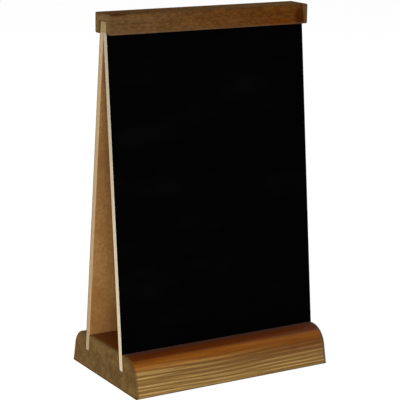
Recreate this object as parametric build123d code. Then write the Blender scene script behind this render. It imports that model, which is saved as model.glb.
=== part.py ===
"""Double-sided table-top menu chalkboard.

Two black-faced boards lean together.  Their feet stand in two slanted kerfs in a heavy base block,
and their heads meet face to face in the groove of a cap rail that simply rests on them.

Millimetres.  +X runs along the length of the block, +Y from the front board to the rear board, +Z up.
The origin is the middle of the underside of the base block.
"""
from build123d import *
import math
import os

# Base block
BASE_LENGTH = 150.0
BASE_DEPTH = 92.4
BASE_HEIGHT = 25.0
BASE_SIDE_LEAN = 12.0        # degrees that the long sides lean inwards from the vertical
BASE_ROUND = 14.5            # radius that joins each long side to the flat top
BASE_END_EASING = 0.8        # sanded arris round the two end-grain faces
BASE_FOOT_EASING = 0.4       # small bevel round the underside

# Boards
BOARD_LENGTH = 150.0
CORE_THICKNESS = 4.3
FACE_THICKNESS = 0.3         # the black writing face bonded to the outside of each core
BOARD_TILT = 5.85            # degrees from the vertical, each board towards the other
BOARD_HEAD_OFFSET = 4.7      # outer face to the mid-plane, at the underside of the rail
BOARD_FOOT_EASING = 0.8      # rounded lower edges that lie in the kerf
MEETING_GAP = 0.1            # each board's bevelled head to the mid-plane

# Kerfs in the base block
KERF_DEPTH = 12.0            # below the block's top, straight down
KERF_PLAY = 0.15             # each side of the board
KERF_SEAT = 0.1              # under the board's foot

# Cap rail
RAIL_LENGTH = 151.4
RAIL_DEPTH = 20.2
RAIL_HEIGHT = 13.4
RAIL_UNDERSIDE = 232.5
RAIL_UPPER_EASING = 0.6
RAIL_LOWER_EASING = 1.1
GROOVE_DEPTH = 8.2
GROOVE_PLAY = 0.15           # each side of the pair of boards
GROOVE_SEAT = 0.1            # over the boards' heads

# Tools
BEYOND = 20.0                # how far a cutting tool runs past the wood
TOLERANCE = 1e-3             # within which two heights count as equal

BOARD_THICKNESS = CORE_THICKNESS + FACE_THICKNESS
TILT = math.radians(BOARD_TILT)
BOARD_TOP = RAIL_UNDERSIDE + GROOVE_DEPTH - GROOVE_SEAT
BOARD_BOTTOM = BASE_HEIGHT - KERF_DEPTH + KERF_SEAT
GROOVE_HALF_WIDTH = BOARD_HEAD_OFFSET + GROOVE_PLAY


def offset_at(height, inwards):
    """Distance from the mid-plane, at a height, of a plane that lies inwards of a board's outer face."""
    fall = (RAIL_UNDERSIDE - height) * math.tan(TILT)
    return BOARD_HEAD_OFFSET + fall - inwards / math.cos(TILT)


def slab(outer, inner, bottom, top, length):
    """A leaning slab of the front board's kind, between two depths measured in from its outer face."""
    section = Polyline(
        (-offset_at(bottom, outer), bottom),
        (-offset_at(bottom, inner), bottom),
        (-offset_at(top, inner), top),
        (-offset_at(top, outer), top),
        close=True,
    )
    return along_x(make_face(section), length)


def along_x(face, length):
    """Stand a face drawn as (depth, height) upright and draw it out along X, centred on the origin."""
    upright = Plane(origin=(-length / 2, 0, 0), x_dir=(0, 1, 0), z_dir=(1, 0, 0))
    return extrude(upright * face, length)


def long_edges_at(part, height):
    """The edges that run along X at one height."""
    return part.edges().filter_by(Axis.X).filter_by(lambda edge: abs(edge.center().Z - height) < TOLERANCE)


def front_board_blank():
    """Foot-to-head blank of the front board: foot rounded for the kerf, inner side planed upright at the head."""
    foot = slab(0, BOARD_THICKNESS, BOARD_BOTTOM, BOARD_TOP, BOARD_LENGTH)
    foot = fillet(long_edges_at(foot, BOARD_BOTTOM), BOARD_FOOT_EASING)
    own_side = Pos(0, -MEETING_GAP, 0) * Box(
        BOARD_LENGTH + BEYOND, BASE_DEPTH, BOARD_TOP + BEYOND, align=(Align.CENTER, Align.MAX, Align.MIN)
    )
    return foot & own_side


def front_board():
    """The front board split into its core and its black writing face, both of them foot to head."""
    blank = front_board_blank()
    skin_zone = slab(-BEYOND, FACE_THICKNESS, 0, RAIL_UNDERSIDE + GROOVE_DEPTH, BOARD_LENGTH + BEYOND)
    return blank - skin_zone, blank & skin_zone


def base_block():
    """Moulded block with leaning, rounded long sides, and one slanted kerf for each board."""
    half = BASE_DEPTH / 2
    top_half = half - BASE_HEIGHT * math.tan(math.radians(BASE_SIDE_LEAN))
    outline = Polyline((-half, 0), (half, 0), (top_half, BASE_HEIGHT), (-top_half, BASE_HEIGHT), close=True)
    block = along_x(make_face(outline), BASE_LENGTH)
    block = fillet(long_edges_at(block, BASE_HEIGHT), BASE_ROUND)
    end_arrises = [
        edge
        for edge in block.edges()
        if abs(abs(edge.center().X) - BASE_LENGTH / 2) < TOLERANCE < edge.center().Z
    ]
    block = fillet(end_arrises, BASE_END_EASING)
    underside = block.faces().sort_by(Axis.Z)[0]
    block = chamfer(underside.edges(), BASE_FOOT_EASING)
    front_kerf = slab(
        -KERF_PLAY,
        BOARD_THICKNESS + KERF_PLAY,
        BASE_HEIGHT - KERF_DEPTH,
        BASE_HEIGHT + BEYOND,
        BASE_LENGTH + BEYOND,
    )
    return block - front_kerf - front_kerf.rotate(Axis.Z, 180)


def top_rail():
    """Cap rail with eased edges and a groove, open at both ends, in its underside."""
    rail = Pos(0, 0, RAIL_UNDERSIDE) * Box(
        RAIL_LENGTH, RAIL_DEPTH, RAIL_HEIGHT, align=(Align.CENTER, Align.CENTER, Align.MIN)
    )
    lower_edges = long_edges_at(rail, RAIL_UNDERSIDE)
    rail = fillet(lower_edges, RAIL_LOWER_EASING)
    upper_face = rail.faces().sort_by(Axis.Z)[-1]
    rail = fillet(upper_face.edges(), RAIL_UPPER_EASING)
    groove = Pos(0, 0, RAIL_UNDERSIDE + GROOVE_DEPTH) * Box(
        RAIL_LENGTH + BEYOND,
        GROOVE_HALF_WIDTH * 2,
        GROOVE_DEPTH + BEYOND,
        align=(Align.CENTER, Align.CENTER, Align.MAX),
    )
    return rail - groove


def build():
    """Every piece by its name."""
    front_core, front_face = front_board()
    return {
        "base_block": base_block(),
        "front_board_core": front_core,
        "front_writing_face": front_face,
        "rear_board_core": front_core.rotate(Axis.Z, 180),
        "rear_writing_face": front_face.rotate(Axis.Z, 180),
        "top_rail": top_rail(),
    }


os.makedirs("parts", exist_ok=True)
for name, piece in build().items():
    export_step(piece, f"parts/{name}.step")
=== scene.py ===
"""Looks of the double-sided table-top menu chalkboard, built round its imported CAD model, in metres.

Every piece of wood and board is drawn as a section in the (y, z) plane and swept along X, which is how
the real pieces are machined, with its arrises eased and its grain raised in the mesh itself.
"""

import math

import bmesh
import bpy
import numpy as np
from mathutils import Matrix, Vector
from mathutils.geometry import delaunay_2d_cdt


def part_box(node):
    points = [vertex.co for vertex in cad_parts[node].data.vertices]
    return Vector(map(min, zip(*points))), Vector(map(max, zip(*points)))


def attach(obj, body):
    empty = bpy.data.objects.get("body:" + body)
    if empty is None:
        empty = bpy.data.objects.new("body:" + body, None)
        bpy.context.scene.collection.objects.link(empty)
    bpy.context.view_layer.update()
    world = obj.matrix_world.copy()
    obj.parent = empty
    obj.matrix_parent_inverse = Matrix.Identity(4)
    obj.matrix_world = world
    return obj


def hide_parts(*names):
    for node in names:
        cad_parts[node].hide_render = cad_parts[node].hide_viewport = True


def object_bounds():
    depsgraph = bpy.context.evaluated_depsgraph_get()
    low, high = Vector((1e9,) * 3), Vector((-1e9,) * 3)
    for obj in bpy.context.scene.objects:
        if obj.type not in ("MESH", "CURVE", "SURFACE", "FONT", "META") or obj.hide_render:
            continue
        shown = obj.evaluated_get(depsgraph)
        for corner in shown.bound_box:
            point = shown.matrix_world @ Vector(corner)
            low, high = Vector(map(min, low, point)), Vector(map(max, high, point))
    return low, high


MM = 0.001

# Sections, as the CAD model has them
BASE_SIDE_LEAN = math.radians(12.0)
BASE_ROUND = 14.5 * MM
BASE_FOOT_EASING = 0.4 * MM
BASE_END_EASING = 0.8 * MM
KERF_DEPTH = 12.0 * MM
KERF_PLAY = 0.15 * MM
BOARD_TILT = math.radians(5.85)
BOARD_HEAD_OFFSET = 4.7 * MM
CORE_THICKNESS = 4.3 * MM
FACE_THICKNESS = 0.3 * MM
BOARD_THICKNESS = CORE_THICKNESS + FACE_THICKNESS
BOARD_FOOT_EASING = 0.8 * MM
MEETING_GAP = 0.1 * MM
RAIL_UPPER_EASING = 0.6 * MM
RAIL_LOWER_EASING = 1.1 * MM
GROOVE_DEPTH = 8.2 * MM
GROOVE_PLAY = 0.15 * MM

# Small easings that only the looks have
KERF_MOUTH_EASING = 0.35 * MM
GROOVE_MOUTH_EASING = 0.3 * MM
RAIL_END_EASING = 0.6 * MM
BOARD_ARRIS = 0.25 * MM
FACE_FOOT_ARRIS = 0.1 * MM
FACE_END_EASING = 0.08 * MM

# Spacing and number of the points along a section, and spacing of the sections along X
BEVEL_STEP = 0.2 * MM
SHOWN_STEP = 0.5 * MM
RAIL_STEP = 0.8 * MM
HIDDEN_STEP = 1.0 * MM
MIDDLE_STEP = 1.5 * MM
FLAT_STEP = 3.0 * MM
PAST_ROUNDING = 0.4 * MM
BASE_ROUND_POINTS = 40
MOUTH_EASING_POINTS = 4
RAIL_LOWER_POINTS = 6
RAIL_UPPER_POINTS = 5
TIMBER_STATION_STEP = 1.0 * MM
BOARD_STATION_STEP = 2.5 * MM
END_ROUNDING_STATIONS = 8
CAP_GRID = 1.6 * MM
CAP_ROW_SPACING = 0.87       # of the grid, as in a mesh of even triangles
CAP_CLEARANCE = 0.5          # of the grid, between an added point and the outline
NO_LENGTH = 1e-9
SAME_HEIGHT = 1e-6

# Shading of the meshes
ARRIS_REACH = 0.6 * MM
FACE_ARRIS_REACH = 0.2 * MM
SHARP_ANGLE = math.radians(35)
STRAIGHT = 0.02              # of the end easing, up to which a section counts as full size

# Each timber is sawn from above the heart of its log, so its rings are arcs about a line below it
BASE_PITH = (5.0 * MM, -45.2 * MM)
BASE_RING_PITCH = 1.48 * MM
RAIL_PITH = (30.0 * MM, 205.0 * MM)
RAIL_RING_PITCH = 1.3 * MM
RING_DEPTH = 0.04 * MM
YEARLY_SPREAD = 0.33 * MM
YEARLY_RATE = 540.0
SANDING_DEPTH = 0.05 * MM
RING_WAVES = ((0.60 * MM, 31.0, 1.9), (0.08 * MM, 83.0, 2.1))      # rise, radians per metre, start
RING_TREMBLE = 0.40 * MM

# Where raised grain and sanding stop short of an edge, and how near a kerf's wall its own points lie
WORKED_MARGIN = 1.0 * MM
WORKED_FOOT = 0.6 * MM
KERF_WALL_MARGIN = 0.6 * MM

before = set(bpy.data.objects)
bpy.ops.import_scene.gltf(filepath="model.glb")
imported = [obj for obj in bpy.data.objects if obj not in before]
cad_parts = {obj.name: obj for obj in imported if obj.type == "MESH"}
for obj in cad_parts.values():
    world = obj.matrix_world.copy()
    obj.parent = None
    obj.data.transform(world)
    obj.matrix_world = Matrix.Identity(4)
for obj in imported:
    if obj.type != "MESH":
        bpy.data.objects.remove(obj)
cad_low, cad_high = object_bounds()
base_low, base_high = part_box("base_block")
rail_low, rail_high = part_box("top_rail")
core_low, core_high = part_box("front_board_core")


# ---------------------------------------------------------------- meshes

def run(start, end, step):
    """Points from start to just short of end, about a step apart."""
    start, end = np.array(start, float), np.array(end, float)
    count = max(1, round(np.linalg.norm(end - start) / step))
    return [tuple(start + (end - start) * i / count) for i in range(count)]


def arc(centre, radius, first, last, count):
    """Points on a circle from the first angle to the last, in radians, both included."""
    return [
        (centre[0] + radius * math.cos(a), centre[1] + radius * math.sin(a))
        for a in np.linspace(first, last, count)
    ]


def mirrored(half):
    """A closed section from its half on the +Y side, which runs from the lower middle to the upper middle."""
    return half + [(-y, z) for y, z in reversed(half) if abs(y) > NO_LENGTH]


def outward_normals(section):
    """Unit normals of a closed anticlockwise section, each the mean of its two sides'."""
    points = np.array(section)
    side = np.roll(points, -1, axis=0) - points
    side /= np.linalg.norm(side, axis=1)[:, None]
    normal = np.stack([side[:, 1], -side[:, 0]], axis=1)
    mean = normal + np.roll(normal, 1, axis=0)
    return mean / np.linalg.norm(mean, axis=1)[:, None]


def corner_weights(section, reach):
    """How near each point of a section is to a convex corner: 1 at a right angle, 0 on a flat."""
    points = np.array(section)
    side = np.roll(points, -1, axis=0) - points
    heading = np.unwrap(np.arctan2(side[:, 1], side[:, 0]))
    turn = np.maximum((heading - np.roll(heading, 1) + math.pi) % (2 * math.pi) - math.pi, 0)
    place = np.concatenate([[0], np.cumsum(np.linalg.norm(side, axis=1))])
    around, place = place[-1], place[:-1]
    gap = np.abs(place[:, None] - place[None, :])
    gap = np.minimum(gap, around - gap)
    return np.minimum((np.exp(-((gap / reach) ** 2)) * turn[None, :]).sum(axis=1) / (math.pi / 2), 1)


def end_stations(half_length, easing, step):
    """Places along X, each with how far the section draws in there to round the two ends."""
    turns = np.linspace(0, math.pi / 2, END_ROUNDING_STATIONS)
    rounded = [(half_length - easing + easing * math.sin(t), easing * (1 - math.cos(t))) for t in turns]
    flat = half_length - easing
    count = round(2 * flat / step)
    middle = [(x, 0.0) for x in np.linspace(-flat, flat, count + 1)[1:-1]]
    left = [(-x, inset) for x, inset in reversed(rounded)]
    return left + middle + rounded


def within(spot, outline):
    """Whether a spot lies inside a closed outline."""
    after = np.roll(outline, -1, axis=0)
    crosses = (outline[:, 1] > spot[1]) != (after[:, 1] > spot[1])
    rise = np.where(crosses, after[:, 1] - outline[:, 1], 1.0)
    where = outline[:, 0] + (after[:, 0] - outline[:, 0]) * (spot[1] - outline[:, 1]) / rise
    return np.count_nonzero(crosses & (where > spot[0])) % 2 == 1


def cap_triangles(outline):
    """Points added inside a section, and the triangles that fill it."""
    outline = np.array(outline)
    low, high = outline.min(axis=0), outline.max(axis=0)
    half = CAP_GRID / 2
    inside = []
    for row, z in enumerate(np.arange(low[1] + half, high[1], CAP_GRID * CAP_ROW_SPACING)):
        for y in np.arange(low[0] + half * (1 + row % 2), high[0], CAP_GRID):
            spot = np.array((y, z))
            clear = np.linalg.norm(outline - spot, axis=1).min() > CAP_GRID * CAP_CLEARANCE
            if clear and within(spot, outline):
                inside.append((y, z))
    count = len(outline)
    points = [Vector(p) for p in [*outline.tolist(), *inside]]
    loop = [(i, (i + 1) % count) for i in range(count)]
    filled = delaunay_2d_cdt(points, loop, [], 1, NO_LENGTH)
    return [tuple(v) for v in filled[0][count:]], [tuple(face) for face in filled[2]]


def side_faces(rings, count):
    """The four-sided faces between rings of so many points each."""
    faces = []
    for r in range(rings - 1):
        for i in range(count):
            j = (i + 1) % count
            faces.append((r * count + i, r * count + j, (r + 1) * count + j, (r + 1) * count + i))
    return faces


def add_cap(vertices, faces, first, count):
    """Fill the ring of points that starts at first, and return how many points that took."""
    x = vertices[first][0]
    outline = [v[1:] for v in vertices[first:first + count]]
    added, triangles = cap_triangles(outline)
    offset = len(vertices)
    vertices += [(x, y, z) for y, z in added]
    index = [*range(first, first + count), *range(offset, offset + len(added))]
    faces += [tuple(index[i] for i in face) for face in triangles]
    return len(added)


def new_piece(name, vertices, faces, arris):
    """An object of those faces, all turned outwards, that keeps its arris weights as an attribute."""
    mesh = bpy.data.meshes.new(name)
    mesh.from_pydata(vertices, [], faces)
    mesh.attributes.new("arris", "FLOAT", "POINT").data.foreach_set("value", arris)
    work = bmesh.new()
    work.from_mesh(mesh)
    bmesh.ops.recalc_face_normals(work, faces=work.faces)
    work.to_mesh(mesh)
    work.free()
    piece = bpy.data.objects.new(name, mesh)
    bpy.context.scene.collection.objects.link(piece)
    return piece


def swept(name, section, half_length, easing, step, draw_in=None, relief=None, reach=ARRIS_REACH):
    """A closed mesh of a section swept along X, with a point attribute that is 1 along its arrises.

    draw_in gives the direction in which each point of the section moves as an end is rounded, against
    the normal unless told otherwise.  relief(x, y, z) is how far the surface lies below its true face.
    The sides are smooth and take the first material, and the rounded ends and caps the second.
    """
    points = np.array(section)
    normals = outward_normals(section)
    inwards = -normals if draw_in is None else np.array(draw_in)
    corners = corner_weights(section, reach)
    stations = end_stations(half_length, easing, step)
    vertices, arris = [], []
    for x, inset in stations:
        ring = points + inwards * inset
        if relief is not None:
            ring = ring - normals * relief(x, ring[:, 0], ring[:, 1])[:, None]
        vertices += [(x, y, z) for y, z in ring]
        near_end = math.exp(-(((half_length - abs(x)) / reach) ** 2)) * np.linalg.norm(inwards, axis=1)
        arris += np.maximum(corners, near_end).tolist()
    count = len(points)
    faces = side_faces(len(stations), count)
    sides = len(faces)
    for first in (0, (len(stations) - 1) * count):
        arris += [0.0] * add_cap(vertices, faces, first, count)
    piece = new_piece(name, vertices, faces, arris)
    full_size = [inset <= easing * STRAIGHT for x, inset in stations]
    on_end = [not (full_size[r] and full_size[r + 1]) for r in range(len(stations) - 1) for i in range(count)]
    on_end += [True] * (len(faces) - sides)
    polygons = piece.data.polygons
    polygons.foreach_set("use_smooth", [i < sides for i in range(len(polygons))])
    polygons.foreach_set("material_index", [int(end) for end in on_end])
    piece.data.set_sharp_from_angle(angle=SHARP_ANGLE)
    return piece


def turned_to_rear(piece, name):
    """The rear board's twin of a front piece: the same mesh turned half a turn about Z."""
    mesh = piece.data.copy()
    mesh.name = name
    mesh.transform(Matrix.Rotation(math.pi, 4, "Z"))
    twin = bpy.data.objects.new(name, mesh)
    bpy.context.scene.collection.objects.link(twin)
    return twin


def board_offset(height, inwards):
    """Distance from the mid-plane, at a height, of a plane that lies inwards of a board's outer face."""
    fall = (rail_low.z - height) * math.tan(BOARD_TILT)
    return BOARD_HEAD_OFFSET + fall - inwards / math.cos(BOARD_TILT)


def kerf_outer(z):
    """Distance from the mid-plane of a kerf's outer wall, at a height."""
    return board_offset(z, -KERF_PLAY)


def kerf_inner(z):
    """Distance from the mid-plane of a kerf's inner wall, at a height."""
    return board_offset(z, BOARD_THICKNESS + KERF_PLAY)


def ring_wander(x):
    """How the rings rise and fall along the length, the same in the mesh and in the material."""
    return sum(rise * np.sin(x * rate + start) for rise, rate, start in RING_WAVES)


def worked_surface(pith, pitch, outside):
    """Early wood sunk between the harder late wood, and the slow unevenness that sanding leaves."""

    def relief(x, y, z):
        radius = np.hypot(y - pith[0], z - pith[1]) + ring_wander(x)
        radius = radius + YEARLY_SPREAD * np.sin(radius * YEARLY_RATE)
        early = 0.5 + 0.5 * np.cos(2 * math.pi * radius / pitch)
        along, across = np.sin(x * 55 + z * 120), np.cos(x * 23 + y * 90 + 1.3)
        sanding = 0.5 + 0.5 * along * across
        return (RING_DEPTH * early + SANDING_DEPTH * sanding) * outside(y, z)

    return relief


def outside_of_base(y, z):
    """1 on the block's front, back and shoulders, 0 on its underside and from one kerf to the other."""
    within_kerfs = np.abs(y) < kerf_outer(z) + WORKED_MARGIN
    return np.where(within_kerfs, 0.0, np.clip((z - WORKED_FOOT) / MM, 0, 1))


def outside_of_rail(y, z):
    """1 on the rail's front, back and top, 0 on its underside and in its groove."""
    in_groove = np.abs(y) < BOARD_HEAD_OFFSET + WORKED_MARGIN
    return np.where(in_groove, 0.0, np.clip((z - rail_low.z - WORKED_MARGIN) / MM, 0, 1))


def base_section():
    """The block's closed section with its two kerfs."""
    half, top = base_high.y, base_high.z
    lean = math.tan(BASE_SIDE_LEAN)
    foot = half + BASE_FOOT_EASING * lean
    past_tangent = BASE_ROUND * math.tan((math.pi / 2 - BASE_SIDE_LEAN) / 2)
    centre = (foot - top * lean - past_tangent, top - BASE_ROUND)
    side_top = (
        centre[0] + BASE_ROUND * math.cos(BASE_SIDE_LEAN),
        centre[1] + BASE_ROUND * math.sin(BASE_SIDE_LEAN),
    )
    floor = top - KERF_DEPTH
    ease = KERF_MOUTH_EASING
    mouth = top - 1.5 * ease
    outer_corner = kerf_outer(top) + ease
    inner_corner = kerf_inner(top) - ease
    points = run((0, 0), (half - BASE_FOOT_EASING, 0), FLAT_STEP)
    points += run((half - BASE_FOOT_EASING, 0), (half, BASE_FOOT_EASING), BEVEL_STEP)
    points += run((half, BASE_FOOT_EASING), side_top, SHOWN_STEP)
    points += arc(centre, BASE_ROUND, BASE_SIDE_LEAN, math.pi / 2, BASE_ROUND_POINTS)
    points += run((centre[0] - PAST_ROUNDING, top), (outer_corner, top), SHOWN_STEP)
    points += arc((outer_corner, top - ease), ease, math.pi / 2, math.pi, MOUTH_EASING_POINTS)
    points += run((kerf_outer(mouth), mouth), (kerf_outer(floor), floor), HIDDEN_STEP)
    points += run((kerf_outer(floor), floor), (kerf_inner(floor), floor), HIDDEN_STEP)
    points += run((kerf_inner(floor), floor), (kerf_inner(mouth), mouth), HIDDEN_STEP)
    points += arc((inner_corner, top - ease), ease, 0, math.pi / 2, MOUTH_EASING_POINTS)
    points += run((inner_corner - PAST_ROUNDING, top), (0, top), MIDDLE_STEP)
    points.append((0, top))
    return mirrored(points)


def base_draw_in(section):
    """The way each point moves as an end is rounded.

    The outside draws in along its normals and a kerf's walls shorten along themselves.  The kerfs'
    floors and the underside stay.
    """
    floor = base_high.z - KERF_DEPTH
    ways = []
    for (y, z), normal in zip(section, outward_normals(section)):
        inner, outer = kerf_inner(z) - KERF_WALL_MARGIN, kerf_outer(z) + KERF_WALL_MARGIN
        if inner < abs(y) < outer and floor - SAME_HEIGHT < z:
            share = (z - floor) / KERF_DEPTH
            ways.append((math.copysign(math.tan(BOARD_TILT), y) * share, -share))
        elif z < BASE_FOOT_EASING / 2:
            ways.append((0.0, 0.0))
        else:
            ways.append(tuple(-normal))
    return ways


def under_face(z, depth):
    """The point of the front board at a height and a depth under its outer face."""
    return -board_offset(z, depth), z


def board_section(outer, inner, arris):
    """The front board's section between two depths under its outer face, with eased foot and head."""
    foot, head = core_low.z, core_high.z
    gap = -MEETING_GAP
    inner_at_rail = BOARD_HEAD_OFFSET - inner / math.cos(BOARD_TILT)
    bevel_start = rail_low.z + (inner_at_rail - MEETING_GAP) / math.tan(BOARD_TILT)
    outer_foot = (arris - board_offset(foot, outer), foot)
    inner_foot = (-board_offset(foot, inner) - arris, foot)
    outer_head = (min(BOARD_ARRIS, arris) - board_offset(head, outer), head)
    outer_start, inner_start = under_face(foot + arris, outer), under_face(foot + arris, inner)
    points = run(outer_start, outer_foot, BEVEL_STEP)
    points += run(outer_foot, inner_foot, SHOWN_STEP)
    points += run(inner_foot, inner_start, BEVEL_STEP)
    if bevel_start < head:
        points += run(inner_start, (gap, bevel_start), FLAT_STEP)
        points += run((gap, bevel_start), (gap, head - BOARD_ARRIS), MIDDLE_STEP)
        points += [(gap, head - BOARD_ARRIS), (gap - BOARD_ARRIS, head)]
    else:
        points += run(inner_start, under_face(head, inner), FLAT_STEP)
        points += [under_face(head, inner)]
    points += run(outer_head, under_face(head - BOARD_ARRIS, outer), BEVEL_STEP)
    points += run(under_face(head - BOARD_ARRIS, outer), outer_start, FLAT_STEP)
    return points


def rail_section():
    """The rail's section: eased corners and the groove that takes the heads of both boards."""
    half, low, high = rail_high.y, rail_low.z, rail_high.z
    groove = BOARD_HEAD_OFFSET + GROOVE_PLAY
    ceiling = low + GROOVE_DEPTH
    below, above = RAIL_LOWER_EASING, RAIL_UPPER_EASING
    ease = GROOVE_MOUTH_EASING
    rounding = 0.3 * ease
    points = run((0, ceiling), (groove, ceiling), HIDDEN_STEP)
    points += run((groove, ceiling), (groove, low + ease), HIDDEN_STEP)
    points += [(groove, low + ease), (groove + rounding, low + rounding), (groove + ease, low)]
    points += run((groove + RAIL_STEP, low), (half - below, low), RAIL_STEP)
    points += arc((half - below, low + below), below, -math.pi / 2, 0, RAIL_LOWER_POINTS)
    points += run((half, low + below + PAST_ROUNDING), (half, high - above), SHOWN_STEP)
    points += arc((half - above, high - above), above, 0, math.pi / 2, RAIL_UPPER_POINTS)
    points += run((half - above - PAST_ROUNDING, high), (0, high), RAIL_STEP)
    points.append((0, high))
    return mirrored(points)


# ---------------------------------------------------------------- materials

# Colours of the base, linear RGB, most of them before its tone darkens them
EARLY_WOOD_DARK = (0.165, 0.082, 0.010)
EARLY_WOOD_PALE = (0.335, 0.208, 0.065)
LATE_WOOD = (0.108, 0.051, 0.007)
SIDE_REDDENED = (0.105, 0.032, 0.001)
SHOULDER_DEEP = (0.175, 0.046, 0.001)
SHOULDER_BRIGHT = (0.250, 0.085, 0.004)
SHOULDER_RINGS = (0.110, 0.028, 0.001)
# Painted shade: the shoulder is darkened towards +X
SHOULDER_PAINTED_SHADE = (0.128, 0.035, 0.001)
# The top: a red-brown stain, darkened further as painted shade
TOP_STAIN_AND_SHADE = (0.085, 0.017, 0.001)
TOP_RINGS_AND_SHADE = (0.058, 0.010, 0.001)
# Chalk dust by the boards, grey-purple as a painted sheen as well
CHALK_DUST_AND_SHEEN = (0.080, 0.042, 0.034)
SOAKED_STAIN = (0.100, 0.052, 0.013)
# Painted contact shade along the foot
FOOT_CONTACT_SHADE = (0.030, 0.018, 0.008)
# Painted highlight on the upper arrises
PAINTED_ARRIS_HIGHLIGHT = (0.170, 0.095, 0.040)

# Colours of the rail
RAIL_BROWN = (0.090, 0.048, 0.017)
RAIL_ORANGE = (0.080, 0.026, 0.004)
RAIL_TOP_OLIVE = (0.112, 0.054, 0.018)
RAIL_TOP_TAN = (0.140, 0.074, 0.026)
RAIL_RINGS = (0.055, 0.023, 0.006)
KNOT = (0.036, 0.007, 0.001)
RAIL_REDDENED = (0.095, 0.020, 0.001)
RAIL_PALE_END = (0.135, 0.075, 0.034)
DRYING_CRACK = (0.020, 0.006, 0.002)
BRUISE = (0.052, 0.008, 0.001)
# Painted highlight on the rail's lower arrises
PAINTED_LOWER_ARRIS_HIGHLIGHT = (0.130, 0.085, 0.055)
# Painted shade on the rail's upper arrises
UPPER_ARRIS_PAINTED_SHADE = (0.045, 0.022, 0.008)

# Colours of the end grain, darker on the base than on the rail
BASE_END = {"dull": (0.080, 0.042, 0.010), "pale": (0.120, 0.066, 0.017), "late": (0.068, 0.034, 0.007)}
RAIL_END = {"dull": (0.090, 0.048, 0.014), "pale": (0.124, 0.070, 0.023), "late": (0.072, 0.038, 0.010)}
# Painted shade on the arrises of the ends
END_ARRIS_PAINTED_SHADE = (0.058, 0.030, 0.009)

# Colours of the boards
FIBRE_DARK = (0.265, 0.130, 0.036)
FIBRE_PALE = (0.375, 0.200, 0.068)
FIBRE_CLOUD = (0.240, 0.100, 0.022)
FRONT_EDGE_DARK = (0.440, 0.345, 0.230)
FRONT_EDGE_PALE = (0.540, 0.440, 0.305)
# The rear board's edge: the same fibreboard, painted darker as shade
REAR_EDGE_SHADED_DARK = (0.285, 0.200, 0.112)
REAR_EDGE_SHADED_PALE = (0.350, 0.260, 0.152)
# The edges inside the rail's groove, painted darker as shade
GROOVE_EDGE_SHADED_DARK = (0.205, 0.140, 0.058)
GROOVE_EDGE_SHADED_PALE = (0.255, 0.180, 0.082)
BLACK = (0.0003, 0.0003, 0.0004)
CHALK_HAZE = (0.0016, 0.0016, 0.0017)


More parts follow.
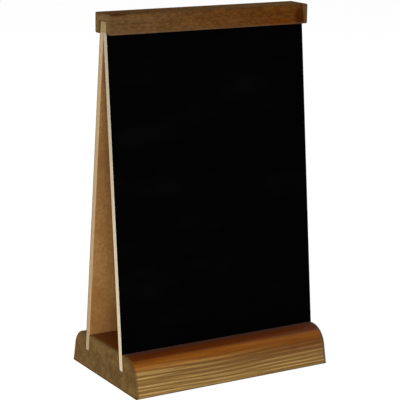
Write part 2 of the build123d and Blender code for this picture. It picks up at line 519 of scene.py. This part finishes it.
class Shader:
    """One procedural material, with short calls for the nodes that these materials are made of."""

    def __init__(self, name, specular):
        self.material = bpy.data.materials.new(name)
        self.material.use_nodes = True
        self.tree = self.material.node_tree
        self.tree.nodes.clear()
        self.surface = self.add("ShaderNodeBsdfPrincipled")
        self.surface.inputs["Specular IOR Level"].default_value = specular
        output = self.add("ShaderNodeOutputMaterial")
        self.tree.links.new(self.surface.outputs["BSDF"], output.inputs["Surface"])
        coordinates = self.add("ShaderNodeTexCoord")
        self.place = coordinates.outputs["Object"]
        self.facing = coordinates.outputs["Normal"]

    def add(self, kind, **settings):
        node = self.tree.nodes.new(kind)
        for key, value in settings.items():
            setattr(node, key, value)
        return node

    def feed(self, socket, value):
        """Link a socket to another, or set it to a plain value."""
        if isinstance(value, bpy.types.NodeSocket):
            self.tree.links.new(value, socket)
        else:
            socket.default_value = value

    def maths(self, operation, *values):
        node = self.add("ShaderNodeMath", operation=operation)
        for socket, value in zip(node.inputs, values):
            self.feed(socket, value)
        return node.outputs[0]

    def plus(self, *values):
        total = values[0]
        for value in values[1:]:
            total = self.maths("ADD", total, value)
        return total

    def times(self, *values):
        total = values[0]
        for value in values[1:]:
            total = self.maths("MULTIPLY", total, value)
        return total

    def ramp(self, value, start, end, low=0.0, high=1.0):
        """A smooth step from low to high as the value goes from start to end."""
        node = self.add("ShaderNodeMapRange", interpolation_type="SMOOTHSTEP")
        for socket, given in zip(node.inputs, (value, start, end, low, high)):
            self.feed(socket, given)
        return node.outputs["Result"]

    def split(self, vector):
        node = self.add("ShaderNodeSeparateXYZ")
        self.feed(node.inputs[0], vector)
        return node.outputs

    def noise(self, per_metre, detail=2.0, roughness=0.5, shift=(0.0, 0.0, 0.0)):
        """Noise between 0 and 1 with so many cells to the metre along each axis."""
        place = self.add("ShaderNodeVectorMath", operation="MULTIPLY_ADD")
        self.feed(place.inputs[0], self.place)
        place.inputs[1].default_value = per_metre
        place.inputs[2].default_value = shift
        node = self.add("ShaderNodeTexNoise")
        self.feed(node.inputs["Vector"], place.outputs[0])
        node.inputs["Scale"].default_value = 1.0
        node.inputs["Detail"].default_value = detail
        node.inputs["Roughness"].default_value = roughness
        return node.outputs["Fac"]

    def mix(self, share, first, second, blend="MIX"):
        """The first colour, with so large a share of the second laid over it."""
        node = self.add("ShaderNodeMix", data_type="RGBA", blend_type=blend)
        factor, under, over = node.inputs[0], node.inputs[6], node.inputs[7]
        self.feed(factor, share)
        for socket, colour in ((under, first), (over, second)):
            self.feed(socket, colour if isinstance(colour, bpy.types.NodeSocket) else (*colour, 1.0))
        return node.outputs[2]

    def toned(self, colour, tone):
        """A colour multiplied by a number."""
        node = self.add("ShaderNodeCombineXYZ")
        for socket in node.inputs:
            self.feed(socket, tone)
        return self.mix(1.0, colour, node.outputs[0], "MULTIPLY")

    def near(self, centre, radii):
        """1 at a spot and 0 outside an ellipsoid of those radii about it."""
        offset = self.add("ShaderNodeVectorMath", operation="SUBTRACT")
        self.feed(offset.inputs[0], self.place)
        offset.inputs[1].default_value = centre
        scaled = self.add("ShaderNodeVectorMath", operation="DIVIDE")
        self.feed(scaled.inputs[0], offset.outputs[0])
        scaled.inputs[1].default_value = radii
        length = self.add("ShaderNodeVectorMath", operation="LENGTH")
        self.feed(length.inputs[0], scaled.outputs[0])
        return self.ramp(length.outputs["Value"], 0.2, 1.0, low=1.0, high=0.0)

    def attribute(self, name):
        node = self.add("ShaderNodeAttribute", attribute_name=name)
        return node.outputs["Fac"]

    def bump(self, height, distance, strength):
        node = self.add("ShaderNodeBump")
        node.inputs["Strength"].default_value = strength
        node.inputs["Distance"].default_value = distance
        self.feed(node.inputs["Height"], height)
        self.feed(self.surface.inputs["Normal"], node.outputs[0])

    def finish(self, colour, roughness):
        """The finished material, with its colour and roughness on the surface."""
        self.feed(self.surface.inputs["Base Color"], colour)
        self.feed(self.surface.inputs["Roughness"], roughness)
        return self.material


def ring_position(s, x, y, z, pith, pitch):
    """How far through its year's growth each point is, from 0 to 1, as worked_surface has it."""
    waves = [
        s.times(s.maths("SINE", s.maths("MULTIPLY_ADD", x, rate, start)), rise)
        for rise, rate, start in RING_WAVES
    ]
    across = s.maths("SUBTRACT", y, pith[0])
    up = s.maths("SUBTRACT", z, pith[1])
    radius = s.maths("SQRT", s.plus(s.times(across, across), s.times(up, up)))
    uneven = s.maths("SUBTRACT", s.noise((22, 300, 300), detail=3.0), 0.5)
    place = s.plus(radius, s.plus(*waves), s.times(uneven, RING_TREMBLE))
    spread = s.times(s.maths("SINE", s.times(place, YEARLY_RATE)), YEARLY_SPREAD)
    return s.maths("FRACT", s.times(s.plus(place, spread), 1 / pitch))


def grain(s, pith, pitch):
    """The patterns that every stained softwood surface here is made of."""
    s.x, s.y, s.z = s.split(s.place)
    phase = ring_position(s, s.x, s.y, s.z, pith, pitch)
    s.late = s.times(s.ramp(phase, 0.15, 0.5), s.ramp(phase, 0.55, 0.95, 1.0, 0.0))
    s.streak = s.noise((12, 520, 520), detail=3.0, roughness=0.6, shift=(2, 5, 9))
    s.fibre = s.noise((90, 2600, 2600), detail=2.0, roughness=0.6, shift=(4, 1, 6))
    s.blotch = s.noise((60, 170, 170), detail=3.0, roughness=0.55, shift=(1, 8, 2))
    s.cloud = s.noise((14, 40, 40), detail=2.0, roughness=0.5, shift=(6, 4, 3))
    s.arris = s.attribute("arris")


def base_side(s, fine):
    """The leaning sides: pale lines in the early wood, dark rings, and a redder stain towards +X."""
    height = s.plus(s.z, s.times(s.cloud, 4 * MM))
    broken = s.ramp(s.streak, 0.3, 0.62, 0.62, 1.0)
    rings = s.times(s.late, broken, s.ramp(height, 2 * MM, 9 * MM, 0.6, 1.0))
    bright = s.ramp(s.plus(s.times(s.streak, 0.20), s.times(fine, 0.80)), 0.38, 0.64)
    side = s.mix(rings, s.mix(bright, EARLY_WOOD_DARK, EARLY_WOOD_PALE), LATE_WOOD)
    redder = s.times(s.ramp(s.x, -90 * MM, 60 * MM, 0.0, 0.95), s.ramp(s.z, 2 * MM, 18 * MM))
    return s.mix(redder, side, SIDE_REDDENED)


def base_body(s, fine):
    """The stain from the sides, over the orange shoulder, to the deep red-brown top, which is partly stain
    and partly painted shade.
    """
    shoulder = s.mix(s.ramp(s.streak, 0.35, 0.65), SHOULDER_DEEP, SHOULDER_BRIGHT)
    shoulder = s.mix(s.times(s.late, 0.35), shoulder, SHOULDER_RINGS)
    # painted shade, darkening the shoulder towards +X
    shoulder = s.mix(s.ramp(s.x, -60 * MM, 60 * MM, 0.0, 0.5), shoulder, SHOULDER_PAINTED_SHADE)
    # the top's stain, darkened further as painted shade
    top = s.mix(s.times(s.late, 0.35), TOP_STAIN_AND_SHADE, TOP_RINGS_AND_SHADE)
    facing_up = s.split(s.facing)[2]
    ragged_up = s.plus(facing_up, s.times(s.maths("SUBTRACT", s.streak, 0.5), 0.16))
    body = s.mix(s.ramp(ragged_up, 0.36, 0.68), base_side(s, fine), shoulder)
    # the upward-facing top is darker: partly stain, partly painted shade
    return s.mix(s.ramp(ragged_up, 0.77, 0.89), body, top)


def base_wear(s, colour):
    """Chalk dust and a painted sheen by the boards, stain soaked in at the ends, painted contact shade along
    the foot and a painted highlight on the upper arrises.
    """
    from_board = s.maths("SUBTRACT", s.maths("ABSOLUTE", s.y), board_offset(base_high.z, 0.0))
    # chalk dust and a painted sheen along the boards
    dust_and_sheen = s.times(s.ramp(from_board, 0.0, 8.0 * MM, 0.8, 0.0), s.ramp(from_board, -0.6 * MM, 0.0))
    colour = s.mix(dust_and_sheen, colour, CHALK_DUST_AND_SHEEN)
    ragged = s.plus(s.maths("ABSOLUTE", s.x), s.times(s.streak, 0.5 * MM))
    soaked = s.times(s.ramp(ragged, base_high.x - 1.9 * MM, base_high.x - 1.5 * MM), 0.85)
    colour = s.mix(soaked, colour, SOAKED_STAIN)
    # painted contact shade along the foot
    colour = s.mix(s.ramp(s.z, 0.3 * MM, 1.0 * MM, 0.85, 0.0), colour, FOOT_CONTACT_SHADE)
    # painted highlight along the upper arrises
    arris_highlight = s.times(s.arris, s.ramp(s.streak, 0.3, 0.6, 0.0, 0.3), s.ramp(s.z, 16 * MM, 22 * MM))
    return s.mix(arris_highlight, colour, PAINTED_ARRIS_HIGHLIGHT)


def base_wood():
    """Stained and varnished softwood: tan with drawn-out rings on the sides, deep red-brown on the top,
    partly as painted shade.
    """
    s = Shader("base_wood", specular=0.22)
    grain(s, BASE_PITH, BASE_RING_PITCH)
    fine = s.noise((9, 1300, 1300), detail=2.0, roughness=0.6, shift=(8, 3, 1))
    short = s.noise((70, 900, 900), detail=3.0, roughness=0.7, shift=(5, 5, 2))
    lines = s.ramp(fine, 0.35, 0.65, -0.08, 0.08)
    ticks = s.ramp(short, 0.52, 0.68, 0.06, -0.22)
    broad = s.plus(s.times(s.streak, 0.32), s.times(s.fibre, 0.22), s.times(s.blotch, 0.26))
    tone = s.plus(0.60, lines, ticks, broad)
    colour = base_wear(s, s.toned(base_body(s, fine), tone))
    raised = s.plus(s.times(s.late, 0.3), s.times(s.streak, 0.4), s.times(s.fibre, 0.3))
    s.bump(raised, distance=0.08 * MM, strength=0.6)
    return s.finish(colour, s.plus(0.22, s.times(s.streak, 0.16)))


def rail_body(s):
    """The rail's stain: browner at the -X end, more orange at the other, paler on the top."""
    drift = s.ramp(s.plus(s.x, s.times(s.cloud, 60 * MM)), -60 * MM, 90 * MM)
    body = s.mix(drift, RAIL_BROWN, RAIL_ORANGE)
    top = s.mix(drift, RAIL_TOP_OLIVE, RAIL_TOP_TAN)
    body = s.mix(s.ramp(s.split(s.facing)[2], 0.4, 0.75), body, top)
    return s.mix(s.times(s.late, 0.22), body, RAIL_RINGS)


def rail_marks(s, colour, above):
    """The marks of one length of wood: a knot, a red patch and a pale, cracked end at +X, a bruise at -X."""
    front = rail_low.y
    knot = s.near((69.0 * MM, front, rail_low.z + 5.0 * MM), (6.5 * MM, 3.0 * MM, 10.5 * MM))
    colour = s.mix(s.times(knot, s.ramp(s.blotch, 0.3, 0.6, 0.6, 0.95)), colour, KNOT)
    reddened = s.near((54.0 * MM, front, rail_low.z + 2.0 * MM), (16.0 * MM, 3.0 * MM, 3.5 * MM))
    colour = s.mix(s.times(reddened, 0.55), colour, RAIL_REDDENED)
    slanted = s.plus(s.x, s.times(above, 0.16))
    pale_end = s.times(s.ramp(slanted, 72.4 * MM, 73.2 * MM), 0.30)
    colour = s.mix(pale_end, colour, RAIL_PALE_END)
    from_crack = s.maths("ABSOLUTE", s.maths("SUBTRACT", slanted, 72.7 * MM))
    colour = s.mix(s.ramp(from_crack, 0.2 * MM, 1.1 * MM, 0.55, 0.0), colour, DRYING_CRACK)
    bruise = s.near((-70.0 * MM, front, rail_high.z), (9.0 * MM, 4.0 * MM, 2.2 * MM))
    return s.mix(s.times(bruise, 0.9), colour, BRUISE)


def rail_wood():
    """Stained softwood with a duller finish: close mottling, more orange towards one end."""
    s = Shader("rail_wood", specular=0.0)
    grain(s, RAIL_PITH, RAIL_RING_PITCH)
    close = s.noise((300, 520, 520), detail=2.0, roughness=0.6, shift=(7, 2, 5))
    mottle = s.ramp(close, 0.35, 0.65, 0.0, 0.4)
    tone = s.plus(0.35, s.times(s.streak, 0.35), s.times(s.fibre, 0.20), s.times(s.blotch, 0.40), mottle)
    above = s.maths("SUBTRACT", s.z, rail_low.z)
    colour = rail_marks(s, s.toned(rail_body(s), tone), above)
    # painted highlight along the lower arrises
    lower_arris_highlight = s.times(s.arris, s.ramp(above, 0.8 * MM, 2.0 * MM, 0.45, 0.0))
    colour = s.mix(lower_arris_highlight, colour, PAINTED_LOWER_ARRIS_HIGHLIGHT)
    # painted shade darkening the upper arrises
    upper_arris_shade = s.times(s.arris, s.ramp(above, 4 * MM, 12 * MM, 0.0, 0.5))
    colour = s.mix(upper_arris_shade, colour, UPPER_ARRIS_PAINTED_SHADE)
    raised = s.plus(s.times(s.blotch, 0.3), s.times(s.streak, 0.4), s.times(s.fibre, 0.3))
    s.bump(raised, distance=0.08 * MM, strength=0.6)
    return s.finish(colour, s.plus(0.42, s.times(s.streak, 0.16)))


def end_grain(name, pith, pitch, foot, dull, pale, late):
    """Sawn end grain that has drunk the stain: blotchy, dull and open-pored, with painted shade on its
    arrises and painted contact shade from the foot up.
    """
    s = Shader(name, specular=0.05)
    grain(s, pith, pitch)
    pores = s.noise((400, 1500, 1500), detail=2.0, roughness=0.6, shift=(3, 3, 7))
    specks = s.noise((420, 640, 640), detail=2.0, roughness=0.6, shift=(2, 7, 1))
    body = s.mix(s.ramp(s.blotch, 0.35, 0.65), dull, pale)
    body = s.mix(s.times(s.late, 0.3), body, late)
    speckle = s.ramp(specks, 0.35, 0.65, 0.0, 0.30)
    colour = s.toned(body, s.plus(0.51, s.times(pores, 0.36), s.times(s.cloud, 0.32), speckle))
    # painted shade darkening the arrises
    colour = s.mix(s.times(s.arris, 0.45), colour, END_ARRIS_PAINTED_SHADE)
    # painted contact shade from the foot up
    contact_shade = s.ramp(s.maths("SUBTRACT", s.z, foot), 0.2 * MM, 1.4 * MM, 0.8, 0.0)
    colour = s.mix(contact_shade, colour, FOOT_CONTACT_SHADE)
    s.bump(s.plus(s.times(pores, 0.7), s.times(s.late, 0.3)), distance=0.10 * MM, strength=0.6)
    return s.finish(colour, s.plus(0.55, s.times(pores, 0.3)))


def fibreboard():
    """The felted brown face of fibreboard: fine flecks under a slow cloudiness, with painted shade darkening
    it towards its head.
    """
    s = Shader("fibreboard_face", specular=0.15)
    flecks = s.noise((520, 900, 420), detail=4.0, roughness=0.65)
    cloud = s.noise((40, 40, 26), detail=3.0, roughness=0.5, shift=(3, 1, 4))
    colour = s.mix(s.ramp(flecks, 0.35, 0.7), FIBRE_DARK, FIBRE_PALE)
    colour = s.mix(s.ramp(cloud, 0.3, 0.75), colour, FIBRE_CLOUD)
    height = s.split(s.place)[2]
    # painted shade, darker towards the head
    colour = s.toned(colour, s.ramp(height, 40 * MM, 190 * MM, 0.98, 0.76))
    s.bump(flecks, distance=0.08 * MM, strength=0.5)
    return s.finish(colour, s.plus(0.65, s.times(flecks, 0.2)))


def fibreboard_edge():
    """The mealy sawn edge of fibreboard, with painted shade that makes it duller towards the head, on the
    rear board and in the groove.
    """
    s = Shader("fibreboard_edge", specular=0.1)
    y, z = s.split(s.place)[1:]
    meal = s.noise((900, 1500, 700), detail=3.0, roughness=0.7, shift=(5, 2, 2))
    patches = s.noise((60, 60, 45), detail=2.0, roughness=0.5, shift=(1, 4, 4))
    mealy = s.ramp(meal, 0.3, 0.75)
    front = s.mix(mealy, FRONT_EDGE_DARK, FRONT_EDGE_PALE)
    # painted shade, darker towards the head
    shade_towards_head = s.ramp(s.plus(z, s.times(patches, 50 * MM)), 60 * MM, 260 * MM, 1.0, 0.68)
    # painted shade: the rear board's edge is darker
    rear = s.mix(mealy, REAR_EDGE_SHADED_DARK, REAR_EDGE_SHADED_PALE)
    sawn = s.mix(s.ramp(y, -5 * MM, 5 * MM), s.toned(front, shade_towards_head), rear)
    # painted shade on the edges inside the groove
    in_groove = s.ramp(s.maths("SUBTRACT", z, rail_low.z), 0.0, 1.5 * MM)
    colour = s.mix(in_groove, sawn, s.mix(mealy, GROOVE_EDGE_SHADED_DARK, GROOVE_EDGE_SHADED_PALE))
    s.bump(meal, distance=0.10 * MM, strength=0.6)
    return s.finish(colour, s.plus(0.75, s.times(meal, 0.2)))


def chalk_black():
    """Matt black writing face with the faint, wiped haze of old chalk."""
    s = Shader("chalk_black", specular=0.008)
    wiped = s.noise((18, 18, 45), detail=4.0, roughness=0.6)
    tooth = s.noise((2600, 2600, 2600), detail=2.0, roughness=0.6, shift=(1, 2, 3))
    haze = s.times(s.ramp(wiped, 0.45, 0.85), s.maths("MULTIPLY_ADD", tooth, 0.5, 0.5))
    s.bump(tooth, distance=0.03 * MM, strength=0.4)
    return s.finish(s.mix(haze, BLACK, CHALK_HAZE), s.plus(0.55, s.times(wiped, 0.25)))


# ---------------------------------------------------------------- pieces

def place(piece, body, node, slot, sides, ends):
    """Give a piece its two materials, tie it to its body and hide the CAD part that it stands for. The slot
    is not used.
    """
    for material in (sides, ends):
        piece.data.materials.append(material)
    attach(piece, body)
    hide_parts(node)


def build_base():
    """The base block, its end grain in a material of its own."""
    section = base_section()
    block = swept(
        "base_block_timber", section, base_high.x, BASE_END_EASING, TIMBER_STATION_STEP,
        draw_in=base_draw_in(section), relief=worked_surface(BASE_PITH, BASE_RING_PITCH, outside_of_base),
    )
    ends = end_grain("base_end_grain", BASE_PITH, BASE_RING_PITCH, base_low.z, **BASE_END)
    place(block, "base", "base_block", "base_wood", base_wood(), ends)


def build_rail():
    """The cap rail, its end grain in a material of its own."""
    rail = swept(
        "top_rail_timber", rail_section(), rail_high.x, RAIL_END_EASING, TIMBER_STATION_STEP,
        relief=worked_surface(RAIL_PITH, RAIL_RING_PITCH, outside_of_rail),
    )
    ends = end_grain("rail_end_grain", RAIL_PITH, RAIL_RING_PITCH, rail_low.z, **RAIL_END)
    place(rail, "rail", "top_rail", "rail_wood", rail_wood(), ends)


def build_boards():
    """The front board's core and black face, and their twins at the rear."""
    board, edge, black = fibreboard(), fibreboard_edge(), chalk_black()
    core = swept(
        "front_board_fibreboard", board_section(FACE_THICKNESS, BOARD_THICKNESS, BOARD_FOOT_EASING),
        core_high.x, BOARD_ARRIS, BOARD_STATION_STEP,
    )
    face = swept(
        "front_chalk_face", board_section(0.0, FACE_THICKNESS, FACE_FOOT_ARRIS),
        core_high.x, FACE_END_EASING, BOARD_STATION_STEP, reach=FACE_ARRIS_REACH,
    )
    rear_core = turned_to_rear(core, "rear_board_fibreboard")
    rear_face = turned_to_rear(face, "rear_chalk_face")
    place(core, "front_board", "front_board_core", "board_core", board, edge)
    place(face, "front_board", "front_writing_face", "writing_face", black, black)
    place(rear_core, "rear_board", "rear_board_core", "board_core", board, edge)
    place(rear_face, "rear_board", "rear_writing_face", "writing_face", black, black)


# ---------------------------------------------------------------- studio

FLOOR_REACH = 6.0
FLOOR_DROP = 0.05 * MM
FLOOR_GREY = (0.2, 0.2, 0.2, 1.0)
FLOOR_ROUGHNESS = 0.9
FLOOR_GLOW = 0.9
WHITE = (1.0, 1.0, 1.0, 1.0)

TENT_BRIGHT_SIDE = (-0.50, -0.86, 0.0)
TENT_DIM, TENT_BRIGHT = 0.2, 1.0
TENT_FULL_FROM = 0.9
SOFTBOXES = (                # name, offset from the middle of the object, diameter, watts
    ("left_softbox", (-0.55, -0.25, -0.08), 0.35, 2.2),
    ("front_softbox", (-0.6, -1.3, 0.7), 0.8, 9.5),
    ("back_softbox", (-1.0, 1.1, 0.7), 0.7, 6.0),
    ("right_softbox", (1.3, 0.1, 0.8), 0.7, 4.0),
)

# The camera that was solved from the photograph's straight edges
CAMERA_PLACE = (-0.5364, -0.8935, 0.3654)
CAMERA_HEADING = math.radians(30.908)
CAMERA_DIP = math.radians(13.495)
CAMERA_ROLL = math.radians(0.746)
CAMERA_SENSOR = 36.0
CAMERA_LENS = 142.09


def build_floor():
    """A white floor that glows a little, so that it stays pale as far as it is seen."""
    far = FLOOR_REACH
    mesh = bpy.data.meshes.new("studio_floor")
    mesh.from_pydata([(-far, -far, 0), (far, -far, 0), (far, far, 0), (-far, far, 0)], [], [(0, 1, 2, 3)])
    floor = bpy.data.objects.new("studio_floor", mesh)
    floor.location.z = cad_low.z - FLOOR_DROP
    bpy.context.scene.collection.objects.link(floor)
    paper = Shader("lit_white_floor", specular=0.0)
    paper.surface.inputs["Base Color"].default_value = FLOOR_GREY
    paper.surface.inputs["Roughness"].default_value = FLOOR_ROUGHNESS
    paper.surface.inputs["Emission Color"].default_value = WHITE
    paper.surface.inputs["Emission Strength"].default_value = FLOOR_GLOW
    mesh.materials.append(paper.material)


def build_tent():
    """Light from all round, bright from the front left and dim from behind."""
    world = bpy.data.worlds.new("studio_tent")
    world.use_nodes = True
    tree = world.node_tree
    direction = tree.nodes.new("ShaderNodeTexCoord")
    towards = tree.nodes.new("ShaderNodeVectorMath")
    towards.operation = "DOT_PRODUCT"
    towards.inputs[1].default_value = TENT_BRIGHT_SIDE
    level = tree.nodes.new("ShaderNodeMapRange")
    level.interpolation_type = "SMOOTHSTEP"
    level.inputs["From Min"].default_value = 0.0
    level.inputs["From Max"].default_value = TENT_FULL_FROM
    level.inputs["To Min"].default_value = TENT_DIM
    level.inputs["To Max"].default_value = TENT_BRIGHT
    tree.links.new(direction.outputs["Generated"], towards.inputs[0])
    tree.links.new(towards.outputs["Value"], level.inputs["Value"])
    tree.links.new(level.outputs["Result"], tree.nodes["Background"].inputs["Strength"])
    tree.nodes["Background"].inputs["Color"].default_value = WHITE
    bpy.context.scene.world = world


def build_softboxes():
    """Four round softboxes about the object, all turned to its middle."""
    middle = (cad_low + cad_high) / 2
    for name, offset, diameter, watts in SOFTBOXES:
        away = Vector(offset)
        data = bpy.data.lights.new(name, "AREA")
        data.shape = "DISK"
        data.size = diameter
        data.energy = watts
        lamp = bpy.data.objects.new(name, data)
        lamp.location = middle + away
        lamp.rotation_mode = "QUATERNION"
        lamp.rotation_quaternion = (-away).to_track_quat("-Z", "Y")
        bpy.context.scene.collection.objects.link(lamp)


def build_camera():
    """The camera at the photograph's place and angle."""
    data = bpy.data.cameras.new("photo_camera")
    data.sensor_width = CAMERA_SENSOR
    data.lens = CAMERA_LENS
    camera = bpy.data.objects.new("photo_camera", data)
    turn = Matrix.Rotation(-CAMERA_HEADING, 4, "Z") @ Matrix.Rotation(math.pi / 2 - CAMERA_DIP, 4, "X")
    camera.matrix_world = Matrix.Translation(CAMERA_PLACE) @ turn @ Matrix.Rotation(CAMERA_ROLL, 4, "Z")
    bpy.context.scene.collection.objects.link(camera)
    bpy.context.scene.camera = camera


bpy.context.scene.view_settings.view_transform = "Standard"
build_camera()
build_base()
build_rail()
build_boards()
build_floor()
build_tent()
build_softboxes()
